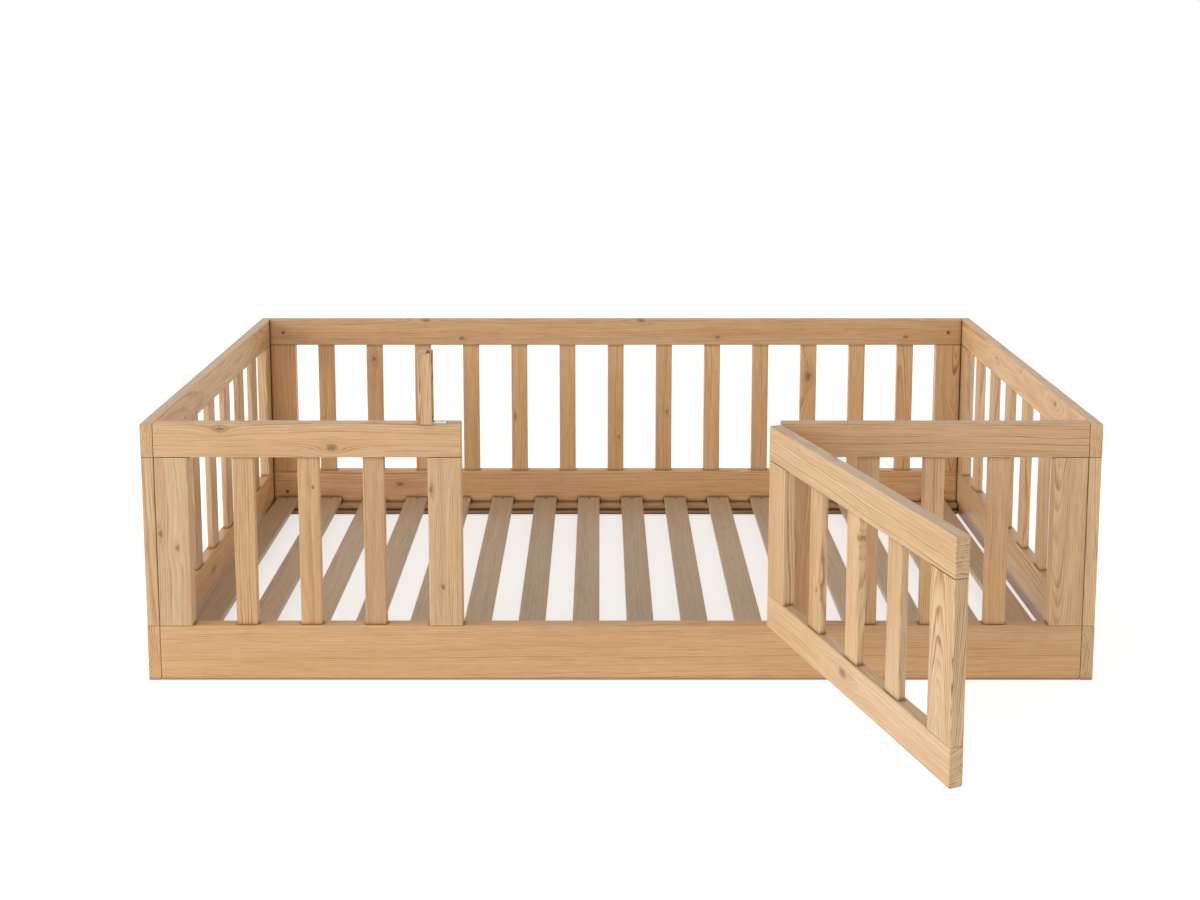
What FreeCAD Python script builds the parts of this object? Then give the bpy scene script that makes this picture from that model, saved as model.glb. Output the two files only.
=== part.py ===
import FreeCAD, Part

# Toddler floor bed: a low pine bed with slatted fences on all four sides, a doorway in the front
# with a swinging gate, and a wooden latch bar that folds down over the gate to hold it shut.
#
# X runs along the bed, Y from the front to the back, Z up. The origin is on the floor, under the
# middle of the front bottom rail. The gate stands open and the latch bar stands upright.

import math
import os
import re

import Sketcher

# Driving sizes in millimetres, and one angle in degrees.
SIZES = {
    # the four panels round the mattress
    "inner_length": 1930,
    "inner_depth": 975,
    "board": 27,
    "bottom_rail_height": 120,
    "fence_height": 362,
    "top_rail_height": 72,
    "stile_width": 70,
    "corner_round": 3,
    "end_round": 2,
    # thin upright slats, housed in the rails
    "fence_slat_width": 45,
    "fence_slat_thickness": 16,
    "fence_pitch": 135,
    "fence_end_gap": 45,
    "mortise_depth": 12,
    # doorway and gate
    "doorway_width": 660,
    "gate_side_gap": 3.5,
    "gate_foot_gap": 5,
    "gate_rail_height": 72,
    "gate_open_angle": 110,
    # slats under the mattress, and the grooved battens that carry them
    "bed_slats": 16,
    "bed_slat_width": 60,
    "bed_slat_thickness": 14,
    "bed_slat_start": 10,
    "bed_slat_finish": 39,
    "bed_slat_end_gap": 1,
    "bed_slat_round": 2,
    "ledger_depth": 20,
    "ledger_height": 30,
    "ledger_end_gap": 2,
    "ledger_round": 1,
    "groove_height": 8,
    "groove_depth": 6,
    "groove_rise": 11,
    # dowels between stiles and rails
    "dowel_diameter": 8,
    "dowel_length": 50,
    "dowel_spacing": 36,
    "dowel_slack": 0.2,
    # bolts and barrel nuts that join the panels at the corners
    "bolt_diameter": 6,
    "bolt_head_diameter": 10,
    "bolt_head_height": 6,
    "bolt_socket": 2.8,
    "bolt_recess": 7.5,
    "bolt_past_nut": 8,
    "nut_diameter": 10,
    "nut_length": 18,
    "nut_setback": 38,
    "nut_slot": 1.5,
    "bore_slack": 0.2,
    # countersunk wood screws: long ones in the bed base, short ones in the hinges
    "base_screw_diameter": 4,
    "base_screw_head": 7.5,
    "base_screw_length": 30,
    "base_screw_inset": 10,
    "hinge_screw_diameter": 3,
    "hinge_screw_head": 6,
    "hinge_screw_length": 14,
    "pilot_slack": 0.1,
    # gate hinges, their pins just in front of the doorway's right edge
    "gate_pin_inset": 1,
    "gate_pin_out": 1.5,
    "gate_hinge_height": 60,
    "gate_hinge_setback": 60,
    "gate_leaf_width": 22,
    "gate_leaf_offset": 2.5,
    "gate_leaf_thickness": 1.5,
    "gate_knuckle_radius": 2.8,
    "gate_pin_radius": 1.4,
    "gate_screw_pitch": 20,
    # latch bar, a grooved block that straddles the rails, and its hinge
    "latch_setback": 68.5,
    "latch_reach": 73.5,
    "latch_web": 16,
    "latch_groove_depth": 12,
    "latch_groove_slack": 1.5,
    "latch_lip": 8,
    "latch_heel": 2,
    "latch_round": 2,
    "latch_end_round": 1.5,
    "latch_hinge_height": 22,
    "latch_leaf_width": 38,
    "latch_leaf_offset": 2.6,
    "latch_leaf_thickness": 1.5,
    "latch_knuckle_radius": 2.5,
    "latch_pin_radius": 1.2,
    "latch_screw_pitch": 16,
    # running fits
    "knuckle_gap": 0.4,
    "leaf_notch": 0.5,
    "pin_clearance": 0.05,
    "pin_head": 0.8,
}

# Places, lengths and counts that follow from the driving sizes. Fence slats stand evenly between
# their stiles, except along the back, where they keep the stated pitch. Bed slats are spread evenly
# between the gaps at the two ends of the bed.
LAYOUT = {
    "rail_line": "bottom_rail_height + fence_height",
    "fence_top": "bottom_rail_height + fence_height + top_rail_height",
    "outer_depth": "inner_depth + 2 * board",
    "back_line": "inner_depth + board",
    "mid_depth": "(inner_depth + board) / 2",
    "side_line": "(inner_length + board) / 2",
    "section_width": "(inner_length - doorway_width) / 2",
    "section_mid": "(inner_length + doorway_width) / 4",
    "gate_width": "doorway_width - 2 * gate_side_gap",
    "gate_base": "bottom_rail_height + gate_foot_gap",
    "gate_sill": "gate_base + gate_rail_height",
    "gate_fence_height": "rail_line - gate_sill",
    "gate_pin_line": "doorway_width / 2 - gate_pin_inset",
    "gate_pin_front": "board / 2 + gate_pin_out",
    "gate_edge": "gate_side_gap - gate_pin_inset",
    "gate_mid": "gate_edge + gate_width / 2",
    "gate_recess": "gate_leaf_offset - gate_pin_inset",
    "gate_screw_line": "(gate_leaf_width + gate_knuckle_radius + leaf_notch) / 2",
    "latch_line": "doorway_width / 2 + latch_setback",
    "latch_length": "latch_heel + latch_setback + gate_side_gap + latch_reach",
    "latch_groove": "board + 2 * latch_groove_slack",
    "latch_screw_line": "(latch_leaf_width + latch_knuckle_radius + leaf_notch) / 2",
    "bed_slat_length": "inner_depth - 2 * bed_slat_end_gap",
    "base_screw_line": "bed_slat_end_gap + base_screw_inset",
    "dowel_depth": "dowel_length / 2 + dowel_slack",
    "bolt_length": "board - bolt_recess + nut_setback + bolt_past_nut",
    "back_slats": "floor((inner_length - 2 * stile_width - fence_slat_width - 2 * fence_end_gap)"
                  " / fence_pitch) + 1",
    "side_slats": "round((outer_depth - 2 * stile_width + fence_slat_width) / fence_pitch) - 1",
    "section_slats": "round((section_width - 2 * stile_width + fence_slat_width) / fence_pitch) - 1",
    "gate_slats": "round((gate_width - 2 * stile_width + fence_slat_width) / fence_pitch) - 1",
    "side_pitch": "(outer_depth - 2 * stile_width + fence_slat_width) / (side_slats + 1)",
    "section_pitch": "(section_width - 2 * stile_width + fence_slat_width) / (section_slats + 1)",
    "gate_pitch": "(gate_width - 2 * stile_width + fence_slat_width) / (gate_slats + 1)",
    "bed_slat_pitch": "(inner_length - bed_slat_start - bed_slat_finish - bed_slat_width)"
                      " / (bed_slats - 1)",
}

# Each panel has a frame of its own: X along the panel, Z up, turned about Z. The gate's frame has
# its origin at the foot of the hinge axis.
FRAMES = {
    "front": ("0", "0", "0"),
    "back": ("0", "back_line", "0"),
    "left": ("-side_line", "mid_depth", "90"),
    "right": ("side_line", "mid_depth", "90"),
    "gate": ("gate_pin_line", "-gate_pin_front", "gate_open_angle"),
}

AXES = {
    "x": FreeCAD.Vector(1, 0, 0),
    "-x": FreeCAD.Vector(-1, 0, 0),
    "y": FreeCAD.Vector(0, 1, 0),
    "-y": FreeCAD.Vector(0, -1, 0),
    "z": FreeCAD.Vector(0, 0, 1),
    "-z": FreeCAD.Vector(0, 0, -1),
}

doc = FreeCAD.newDocument("floor_bed")
sheet_of = {}
sub_parts = []
stile_feet = []


# ---- sheets, formulas and places -----------------------------------------------------------------

def formula(text):
    """The expression with the sheet's name before each alias."""
    return re.sub(r"[a-z_]+", lambda word: sheet_of.get(word.group(), "") + word.group(), text)


def fill_sheet(name, cells):
    """A spreadsheet whose column B holds the cells, each under its alias."""
    sheet = doc.addObject("Spreadsheet::Sheet", name)
    for row, (alias, content) in enumerate(cells.items(), start=1):
        sheet.set(f"A{row}", alias)
        sheet.set(f"B{row}", "=" + formula(content) if isinstance(content, str) else str(content))
        sheet.setAlias(f"B{row}", alias)
    doc.recompute()
    sheet_of.update({alias: f"{name}." for alias in cells})
    return sheet


sizes = fill_sheet("Sizes", SIZES)
fill_sheet("Layout", LAYOUT)


def value(text):
    """The number that a formula gives."""
    return float(sizes.evalExpression(formula(text)))


def bind(item, path, text):
    """Ties one property to a formula."""
    item.setExpression(path, formula(text))


def place(item, at, path="Placement"):
    """Ties a place to three formulas."""
    for axis, text in zip("xyz", at):
        bind(item, f"{path}.Base.{axis}", text)


def settle(item, frame, x="0", y="0", z="0", turn="0"):
    """Ties a sub-part to its place in a panel's frame, turned about Z."""
    base_x, base_y, frame_turn = FRAMES[frame]
    place(item, (f"{base_x} + ({x}) * cos({frame_turn}) - ({y}) * sin({frame_turn})",
                 f"{base_y} + ({x}) * sin({frame_turn}) + ({y}) * cos({frame_turn})", z))
    bind(item, "Placement.Rotation.Angle", f"{frame_turn} + {turn}")


def spot(frame, x, y, z, way="-z"):
    """A place in a panel's frame for a copy that points down its own Z, turned to point that way."""
    base_x, base_y, turn = FRAMES[frame]
    panel = FreeCAD.Placement(FreeCAD.Vector(value(base_x), value(base_y), 0),
                              FreeCAD.Rotation(AXES["z"], value(turn)))
    at = FreeCAD.Vector(value(x), value(y), value(z))
    return panel * FreeCAD.Placement(at, FreeCAD.Rotation(AXES["-z"], AXES[way]))


# ---- bodies and features -------------------------------------------------------------------------

def new_body(label, kept=True):
    """An empty body. One that is kept is a sub-part; the others are patterns to copy."""
    body = doc.addObject("PartDesign::Body", label)
    body.Label = label
    if kept:
        sub_parts.append(body)
    return body


def add(body, kind, **bound):
    """One more feature of the body, its sizes tied to formulas."""
    item = body.newObject(f"PartDesign::{kind}", f"{body.Name}_{kind}")
    for name, text in bound.items():
        bind(item, name, text)
    body.Tip = item
    return item


def turned(item, at, way):
    """Places a feature and turns its own Z along one of the body's axes."""
    item.Placement = FreeCAD.Placement(FreeCAD.Vector(), FreeCAD.Rotation(AXES["z"], AXES[way]))
    place(item, at)


def block(body, kind, at, length, width, height):
    """A box added or cut, from its lowest corner."""
    place(add(body, kind, Length=length, Width=width, Height=height), at)


def rod(body, at, radius, height, way="z"):
    """A cylinder added from a point along an axis."""
    turned(add(body, "AdditiveCylinder", Radius=radius, Height=height), at, way)


def drill(body, at, radius, depth, way="z"):
    """A round hole from a point along an axis."""
    turned(add(body, "SubtractiveCylinder", Radius=radius, Height=depth), at, way)


def screw_hole(body, kind, at, way):
    """A countersunk hole for one kind of screw, from the head's top face along the screw."""
    cone = add(body, "SubtractiveCone", Radius1=f"{kind}_head / 2", Radius2=f"{kind}_diameter / 2",
               Height=f"({kind}_head - {kind}_diameter) / 2")
    turned(cone, at, way)
    drill(body, at, f"({kind}_diameter + pilot_slack) / 2", f"{kind}_length + pilot_slack", way)


def new_sketch(body, plane, x="0", y="0", lift="0"):
    """An empty sketch on a plane of the body's origin, shifted in that plane and lifted off it."""
    sketch = body.newObject("Sketcher::SketchObject", f"{body.Name}_sketch")
    support = next(item for item in body.Origin.OriginFeatures if item.Role == plane)
    sketch.AttachmentSupport = [(support, "")]
    sketch.MapMode = "FlatFace"
    place(sketch, (x, y, lift), "AttachmentOffset")
    return sketch


def hold(sketch, name, text, *constraint):
    """A named dimension of the sketch, tied to a formula."""
    index = sketch.addConstraint(Sketcher.Constraint(*constraint, value(text)))
    sketch.renameConstraint(index, name)
    bind(sketch, f"Constraints.{name}", text)


def rounded_outline(sketch, wide, high, radius):
    """A rectangle with round corners, centred on the sketch: four lines, then four arcs."""
    bend = value(radius)
    half_x = value(wide) / 2
    half_y = value(high) / 2
    flat_x = half_x - bend
    flat_y = half_y - bend
    for start_x, start_y, end_x, end_y in (
        (-flat_x, -half_y, flat_x, -half_y),
        (half_x, -flat_y, half_x, flat_y),
        (flat_x, half_y, -flat_x, half_y),
        (-half_x, flat_y, -half_x, -flat_y),
    ):
        ends = FreeCAD.Vector(start_x, start_y, 0), FreeCAD.Vector(end_x, end_y, 0)
        sketch.addGeometry(Part.LineSegment(*ends), False)
    centres = (flat_x, -flat_y), (flat_x, flat_y), (-flat_x, flat_y), (-flat_x, -flat_y)
    for quarter, (x, y) in enumerate(centres, start=-1):
        circle = Part.Circle(FreeCAD.Vector(x, y, 0), AXES["z"], bend)
        start = quarter * math.pi / 2
        sketch.addGeometry(Part.ArcOfCircle(circle, start, start + math.pi / 2), False)
    for side in range(4):
        sketch.addConstraint(Sketcher.Constraint("Tangent", side, 2, side + 4, 1))
        sketch.addConstraint(Sketcher.Constraint("Tangent", side + 4, 2, (side + 1) % 4, 1))
        sketch.addConstraint(Sketcher.Constraint("Vertical" if side % 2 else "Horizontal", side))
    for arc in (5, 6, 7):
        sketch.addConstraint(Sketcher.Constraint("Equal", 4, arc))
    hold(sketch, "bend", radius, "Radius", 4)
    hold(sketch, "wide", wide, "DistanceX", 3, 1, 1, 1)
    hold(sketch, "high", high, "DistanceY", 0, 1, 2, 1)
    sketch.addConstraint(Sketcher.Constraint("Symmetric", 4, 3, 6, 3, -1, 1))


def pad(body, sketch, length, both_ways=False):
    """Thickens the sketch along its normal, or half to each side of it."""
    item = add(body, "Pad", Length=length)
    item.Profile = sketch
    item.SideType = "Symmetric" if both_ways else "One side"
    return item


def ease_ends(body, axis, radius):
    """Rounds the edges of the faces that end the body along an axis."""
    solid = body.Tip
    solid.recompute(True)
    ends = [f"Face{number}" for number, face in enumerate(solid.Shape.Faces, start=1)
            if abs(getattr(face.normalAt(0, 0), axis)) > 0.999]
    add(body, "Fillet", Radius=radius).Base = (solid, ends)


def repeat(body, feature, sketch, count, pitch):
    """Repeats a feature along the X axis of its sketch."""
    pattern = add(body, "LinearPattern")
    pattern.Originals = [feature]
    pattern.Direction = (sketch, ["H_Axis"])
    pattern.Mode = "Spacing"
    bind(pattern, "Offset", pitch)
    bind(pattern, "Occurrences", count)


def group(label, *sets):
    """One sub-part of several solids: a copy of each set's pattern in each of the set's places."""
    copies = []
    for pattern, spots in sets:
        pattern.recompute(True)
        for where in spots:
            copy = pattern.Shape.copy()
            copy.Placement = where
            copies.append(copy)
    item = doc.addObject("Part::Feature", label)
    item.Label = label
    item.Shape = Part.makeCompound(copies)
    sub_parts.append(item)


# ---- boards of the panels ------------------------------------------------------------------------

def rail(label, frame, mid, length, base, height, y="0"):
    """A level board, its own origin under its middle."""
    body = new_body(label)
    settle(body, frame, mid, y, base)
    section = new_sketch(body, "YZ_Plane", y=f"{height} / 2")
    rounded_outline(section, "board", height, "corner_round")
    pad(body, section, length, both_ways=True)
    ease_ends(body, "x", "end_round")
    return body


def mortise_row(body, face, mid, count, pitch):
    """Mortises for a row of fence slats: face is the height of the top face, or 0 for the foot."""
    sketch = new_sketch(body, "XY_Plane", x=f"{mid} - ({count} - 1) * {pitch} / 2", lift=face)
    rounded_outline(sketch, "fence_slat_width", "fence_slat_thickness", "corner_round")
    pocket = add(body, "Pocket", Length="mortise_depth")
    pocket.Profile = sketch
    pocket.Reversed = face == "0"
    repeat(body, pocket, sketch, count, pitch)


def dowel_holes(body, face, x):
    """Two dowel holes side by side: face is the height of the top face, or 0 for the foot."""
    for side in "-+":
        at = (f"{x} {side} dowel_spacing / 2", "0", face)
        drill(body, at, "(dowel_diameter + dowel_slack) / 2", "dowel_depth", "z" if face == "0" else "-z")


def stile(label, frame, x, base, height, y="0"):
    """An upright board between two rails, its own origin in the middle of its foot."""
    body = new_body(label)
    settle(body, frame, x, y, base)
    section = new_sketch(body, "XY_Plane")
    rounded_outline(section, "stile_width", "board", "corner_round")
    pad(body, section, height)
    dowel_holes(body, height, "0")
    dowel_holes(body, "0", "0")
    stile_feet.append((frame, x, y, base, height))
    return body


def fence_slats(label, frame, mid, base, height, count, pitch, y="0"):
    """A row of thin upright slats whose ends sit in the rails' mortises."""
    body = new_body(label)
    settle(body, frame, mid, y, f"{base} - mortise_depth")
    section = new_sketch(body, "XY_Plane", x=f"-({count} - 1) * {pitch} / 2")
    rounded_outline(section, "fence_slat_width", "fence_slat_thickness", "corner_round")
    slat = pad(body, section, f"{height} + 2 * mortise_depth")
    repeat(body, slat, section, count, pitch)


def corner_bores(body, length, height, end, way):
    """At one end of a lengthwise rail: a hole for the bolt, and one from the inner face for its nut."""
    face = f"{end}({length}) / 2"
    drill(body, (face, "0", f"{height} / 2"), "(bolt_diameter + bore_slack) / 2",
          "nut_setback + bolt_past_nut + bore_slack", "x" if end == "-" else "-x")
    nut_x = f"{face} {'+' if end == '-' else '-'} nut_setback"
    inner_face = "board / 2" if way == "-y" else "-board / 2"
    drill(body, (nut_x, inner_face, f"{height} / 2"), "(nut_diameter + bore_slack) / 2",
          "(board + nut_length) / 2 + bore_slack", way)


def build_back():
    """The back panel, between the side panels and bolted to both."""
    edge = "(inner_length - stile_width) / 2"
    for label, face, base, height in (
        ("back_bottom_rail", "bottom_rail_height", "0", "bottom_rail_height"),
        ("back_top_rail", "0", "rail_line", "top_rail_height"),
    ):
        body = rail(label, "back", "0", "inner_length", base, height)
        for end in "-+":
            dowel_holes(body, face, f"{end}{edge}")
            corner_bores(body, "inner_length", height, end, "y")
        if base == "0":
            ledger_pilots(body, "-board / 2", "y")
        mortise_row(body, face, "0", "back_slats", "fence_pitch")
    stile("back_left_stile", "back", f"-{edge}", "bottom_rail_height", "fence_height")
    stile("back_right_stile", "back", edge, "bottom_rail_height", "fence_height")
    fence_slats("back_fence_slats", "back", "0", "bottom_rail_height", "fence_height", "back_slats",
                "fence_pitch")


def build_side(side, outer_face, inward):
    """A side panel over the full depth, with counterbored bolt holes at its corners."""
    edge = "(outer_depth - stile_width) / 2"
    for label, face, base, height in (
        (f"{side}_bottom_rail", "bottom_rail_height", "0", "bottom_rail_height"),
        (f"{side}_top_rail", "0", "rail_line", "top_rail_height"),
    ):
        body = rail(label, side, "0", "outer_depth", base, height)
        for end in "-+":
            dowel_holes(body, face, f"{end}{edge}")
            bolt_at = (f"{end}back_line / 2", outer_face, f"{height} / 2")
            drill(body, bolt_at, "bolt_head_diameter / 2 + bore_slack", "bolt_recess", inward)
            drill(body, bolt_at, "(bolt_diameter + bore_slack) / 2", "board", inward)
        mortise_row(body, face, "0", "side_slats", "side_pitch")
    stile(f"{side}_front_stile", side, f"-{edge}", "bottom_rail_height", "fence_height")
    stile(f"{side}_rear_stile", side, edge, "bottom_rail_height", "fence_height")
    fence_slats(f"{side}_fence_slats", side, "0", "bottom_rail_height", "fence_height", "side_slats",
                "side_pitch")


def build_front():
    """The front: one long bottom rail, and a fence section on each side of the doorway."""
    low = rail("front_bottom_rail", "front", "0", "inner_length", "0", "bottom_rail_height")
    ledger_pilots(low, "board / 2", "-y")
    edge = "(section_width - stile_width) / 2"
    for side, sign, end in (("left", "-", "-"), ("right", "+", "+")):
        mid = f"{sign}section_mid"
        inner = f"{sign}(section_mid - {edge})"
        outer = f"{sign}(section_mid + {edge})"
        corner_bores(low, "inner_length", "bottom_rail_height", end, "-y")
        top = rail(f"front_{side}_top_rail", "front", mid, "section_width", "rail_line",
                   "top_rail_height")
        corner_bores(top, "section_width", "top_rail_height", end, "-y")
        for x in (inner, outer):
            dowel_holes(low, "bottom_rail_height", x)
            dowel_holes(top, "0", f"{x} - ({mid})")
        if side == "left":
            latch_pilots(top)
        mortise_row(top, "0", "0", "section_slats", "section_pitch")
        doorpost = stile(f"front_{side}_inner_stile", "front", inner, "bottom_rail_height",
                         "fence_height")
        if side == "right":
            hinge_seats(doorpost)
        stile(f"front_{side}_outer_stile", "front", outer, "bottom_rail_height", "fence_height")
        fence_slats(f"front_{side}_fence_slats", "front", mid, "bottom_rail_height", "fence_height",
                    "section_slats", "section_pitch")
    for mid in ("-section_mid", "section_mid"):
        mortise_row(low, "bottom_rail_height", mid, "section_slats", "section_pitch")


# ---- gate and its hinges -------------------------------------------------------------------------

def build_gate():
    """The gate: two rails, two stiles and its slats, hung beside its pins."""
    y = "gate_pin_front"
    edge = "(gate_width - stile_width) / 2"
    for label, face, base, height in (
        ("gate_bottom_rail", "gate_rail_height", "gate_base", "gate_rail_height"),
        ("gate_top_rail", "0", "rail_line", "top_rail_height"),
    ):
        body = rail(label, "gate", "-gate_mid", "gate_width", base, height, y)
        for end in "-+":
            dowel_holes(body, face, f"{end}{edge}")
        mortise_row(body, face, "0", "gate_slats", "gate_pitch")
    stile("gate_free_stile", "gate", f"-gate_mid - {edge}", "gate_sill", "gate_fence_height", y)
    hung = stile("gate_hinge_stile", "gate", f"-gate_mid + {edge}", "gate_sill", "gate_fence_height", y)
    for height in hinge_screw_heights():
        drill(hung, ("stile_width / 2", "gate_screw_line - gate_pin_front", f"{height} - gate_sill"),
              "(hinge_screw_diameter + pilot_slack) / 2", "hinge_screw_length", "-x")
    fence_slats("gate_fence_slats", "gate", "-gate_mid", "gate_sill", "gate_fence_height",
                "gate_slats", "gate_pitch", y)


def hinge_middles():
    """The heights of the middles of the two gate hinges."""
    return ["rail_line - gate_hinge_setback", "gate_sill + gate_hinge_setback"]


def hinge_screw_heights():
    """The heights of the screws of both gate hinges, three to a leaf."""
    return [f"{middle} + ({step}) * gate_screw_pitch"
            for middle in hinge_middles() for step in (-1, 0, 1)]


def hinge_seats(body):
    """In the doorway's right edge: a shallow seat for each hinge leaf, and its screw holes."""
    for middle in hinge_middles():
        foot = f"{middle} - bottom_rail_height - gate_hinge_height / 2"
        block(body, "SubtractiveBox", ("-stile_width / 2 - board", "-board", foot),
              "board + gate_recess", "board + gate_leaf_width - gate_pin_front", "gate_hinge_height")
    for height in hinge_screw_heights():
        at = ("-stile_width / 2", "gate_screw_line - gate_pin_front", f"{height} - bottom_rail_height")
        drill(body, at, "(hinge_screw_diameter + pilot_slack) / 2", "hinge_screw_length", "x")


def hinge_leaf(label, kind, knuckles, own, side, screws, kept):
    """A leaf round a pin on its own Z axis: its share of the knuckles, and a plate along X.

    The side, - or +, is where along Y the plate's back lies. The screws are places on the plate,
    each a distance from the pin and a height."""
    body = new_body(label, kept)
    low = f"-{kind}_hinge_height / 2"
    notch = f"{kind}_knuckle_radius + leaf_notch"
    thick = f"{kind}_leaf_thickness"
    plate_y = f"-{kind}_leaf_offset" if side == "-" else f"{kind}_leaf_offset - {thick}"
    block(body, "AdditiveBox", (notch, plate_y, low), f"{kind}_leaf_width - ({notch})", thick,
          f"{kind}_hinge_height")
    for knuckle in own:
        foot = f"{low} + {knuckle} * {kind}_hinge_height / {knuckles} + knuckle_gap / 2"
        tall = f"{kind}_hinge_height / {knuckles} - knuckle_gap"
        block(body, "AdditiveBox", ("0", plate_y, foot), notch, thick, tall)
        rod(body, ("0", "0", foot), f"{kind}_knuckle_radius", tall)
    drill(body, ("0", "0", low), f"{kind}_pin_radius + pin_clearance", f"{kind}_hinge_height")
    head_y = f"{plate_y} + {thick}" if side == "-" else plate_y
    for x, z in screws:
        screw_hole(body, "hinge_screw", (x, head_y, z), "-y" if side == "-" else "y")
    return body


def hinge_pin(kind):
    """A pin on its own Z axis, riveted over at both ends."""
    body = new_body(f"{kind}_pin", kept=False)
    half = f"{kind}_hinge_height / 2"
    rod(body, ("0", "0", f"-{half}"), f"{kind}_pin_radius", f"{kind}_hinge_height")
    for foot in (half, f"-{half} - pin_head"):
        rod(body, ("0", "0", foot), f"{kind}_pin_radius + pin_head", "pin_head")
    return body


def build_gate_hinges():
    """Two butt hinges: one leaf of each let into the doorway's edge, the other on the gate's edge."""
    holes = [("gate_screw_line", f"({step}) * gate_screw_pitch") for step in (-1, 0, 1)]
    frame_leaf = hinge_leaf("frame_leaf", "gate", 5, (0, 2, 4), "-", holes, kept=False)
    gate_leaf = hinge_leaf("gate_leaf", "gate", 5, (1, 3), "+", holes, kept=False)
    quarter = FreeCAD.Placement(FreeCAD.Vector(), FreeCAD.Rotation(AXES["z"], 90))
    closed = [spot("front", "gate_pin_line", "-gate_pin_front", middle) for middle in hinge_middles()]
    opened = [spot("gate", "0", "0", middle) for middle in hinge_middles()]
    group("gate_hinge_frame_leaves", (frame_leaf, [where * quarter for where in closed]))
    group("gate_hinge_gate_leaves", (gate_leaf, [where * quarter for where in opened]))


# ---- latch ---------------------------------------------------------------------------------------

def latch_screw_places():
    """The distances of the latch hinge's screws from its pin, along either leaf."""
    return ["latch_screw_line - latch_screw_pitch / 2", "latch_screw_line + latch_screw_pitch / 2"]


def latch_pilots(body):
    """Screw holes for the latch hinge in the top of the left front top rail."""
    for x in latch_screw_places():
        drill(body, (f"section_mid - latch_line + {x}", "0", "top_rail_height"),
              "(hinge_screw_diameter + pilot_slack) / 2", "hinge_screw_length", "-z")


def build_latch():
    """The upright latch bar, its groove towards the gate, on a butt hinge on the rail's top."""
    body = new_body("latch_bar")
    settle(body, "front", "-latch_line", "0", "fence_top + latch_leaf_offset")
    section = new_sketch(body, "XY_Plane", lift="-latch_heel",
                         x="(latch_groove_depth - latch_web) / 2 - latch_leaf_offset")
    rounded_outline(section, "latch_web + latch_groove_depth", "latch_groove + 2 * latch_lip",
                    "latch_round")
    pad(body, section, "latch_length")
    ease_ends(body, "z", "latch_end_round")
    block(body, "SubtractiveBox", ("-latch_leaf_offset", "-latch_groove / 2", "-2 * latch_heel"),
          "2 * latch_groove_depth", "latch_groove", "latch_length + 2 * latch_heel")
    for height in latch_screw_places():
        drill(body, ("-latch_leaf_offset", "0", height), "(hinge_screw_diameter + pilot_slack) / 2",
              "hinge_screw_length - latch_leaf_thickness + pilot_slack", "-x")
    screws = [(x, "0") for x in latch_screw_places()]
    rail_leaf = hinge_leaf("latch_hinge_rail_leaf", "latch", 3, (0, 2), "+", screws, kept=True)
    bar_leaf = hinge_leaf("latch_hinge_bar_leaf", "latch", 3, (1,), "-", screws, kept=True)
    pin_at = ("-latch_line", "0", "fence_top + latch_leaf_offset")
    for leaf, turn in ((rail_leaf, FreeCAD.Rotation(AXES["x"], -90)),
                       (bar_leaf, FreeCAD.Rotation(FreeCAD.Vector(1, 1, 1), -120))):
        leaf.Placement = FreeCAD.Placement(FreeCAD.Vector(), turn)
        place(leaf, pin_at)


# ---- bed base ------------------------------------------------------------------------------------

def bed_slat_line(index):
    """How far along the bed the middle of a bed slat lies."""
    return f"-inner_length / 2 + bed_slat_start + bed_slat_width / 2 + {index} * bed_slat_pitch"


def bed_slat_indexes():
    return range(round(value("bed_slats")))


def ledger_screw_lines():
    """The ledgers are screwed to the rails in every third gap between bed slats."""
    return [bed_slat_line(index + 0.5) for index in bed_slat_indexes() if index % 3 == 1]


def ledger_pilots(body, face, way):
    """Holes for the ledger's screws in the inner face of a bottom rail."""
    for x in ledger_screw_lines():
        drill(body, (x, face, "groove_rise + groove_height / 2"),
              "(base_screw_diameter + pilot_slack) / 2",
              "base_screw_length - (ledger_depth - groove_depth) + pilot_slack", way)


def build_bed_base():
    """Flat slats from front to back, screwed down on a grooved batten along each bottom rail."""
    for index in bed_slat_indexes():
        slat = new_body(f"bed_slat_{index + 1:02d}")
        settle(slat, "front", bed_slat_line(index), "mid_depth", "ledger_height")
        section = new_sketch(slat, "XZ_Plane", y="bed_slat_thickness / 2")
        rounded_outline(section, "bed_slat_width", "bed_slat_thickness", "bed_slat_round")
        pad(slat, section, "bed_slat_length", both_ways=True)
        for end in "-+":
            screw_hole(slat, "base_screw",
                       ("0", f"{end}(bed_slat_length / 2 - base_screw_inset)", "bed_slat_thickness"), "-z")
    for side, y, groove_y, inward, outward in (
        ("front", "(board + ledger_depth) / 2", "ledger_depth / 2 - groove_depth", "+", "-y"),
        ("back", "back_line - (board + ledger_depth) / 2", "-ledger_depth / 2", "-", "y"),
    ):
        ledger = new_body(f"{side}_slat_ledger")
        settle(ledger, "front", "0", y)
        section = new_sketch(ledger, "YZ_Plane", y="ledger_height / 2")
        rounded_outline(section, "ledger_depth", "ledger_height", "ledger_round")
        pad(ledger, section, "inner_length - 2 * ledger_end_gap", both_ways=True)
        block(ledger, "SubtractiveBox", ("-inner_length / 2", groove_y, "groove_rise"), "inner_length",
              "groove_depth", "groove_height")
        for index in bed_slat_indexes():
            at = (bed_slat_line(index), f"{inward}(base_screw_line - ledger_depth / 2)", "ledger_height")
            drill(ledger, at, "(base_screw_diameter + pilot_slack) / 2",
                  "base_screw_length - bed_slat_thickness + pilot_slack", "-z")
        for x in ledger_screw_lines():
            at = (x, f"{inward}(ledger_depth / 2 - groove_depth)", "groove_rise + groove_height / 2")
            screw_hole(ledger, "base_screw", at, outward)


# ---- fasteners -----------------------------------------------------------------------------------

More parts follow.
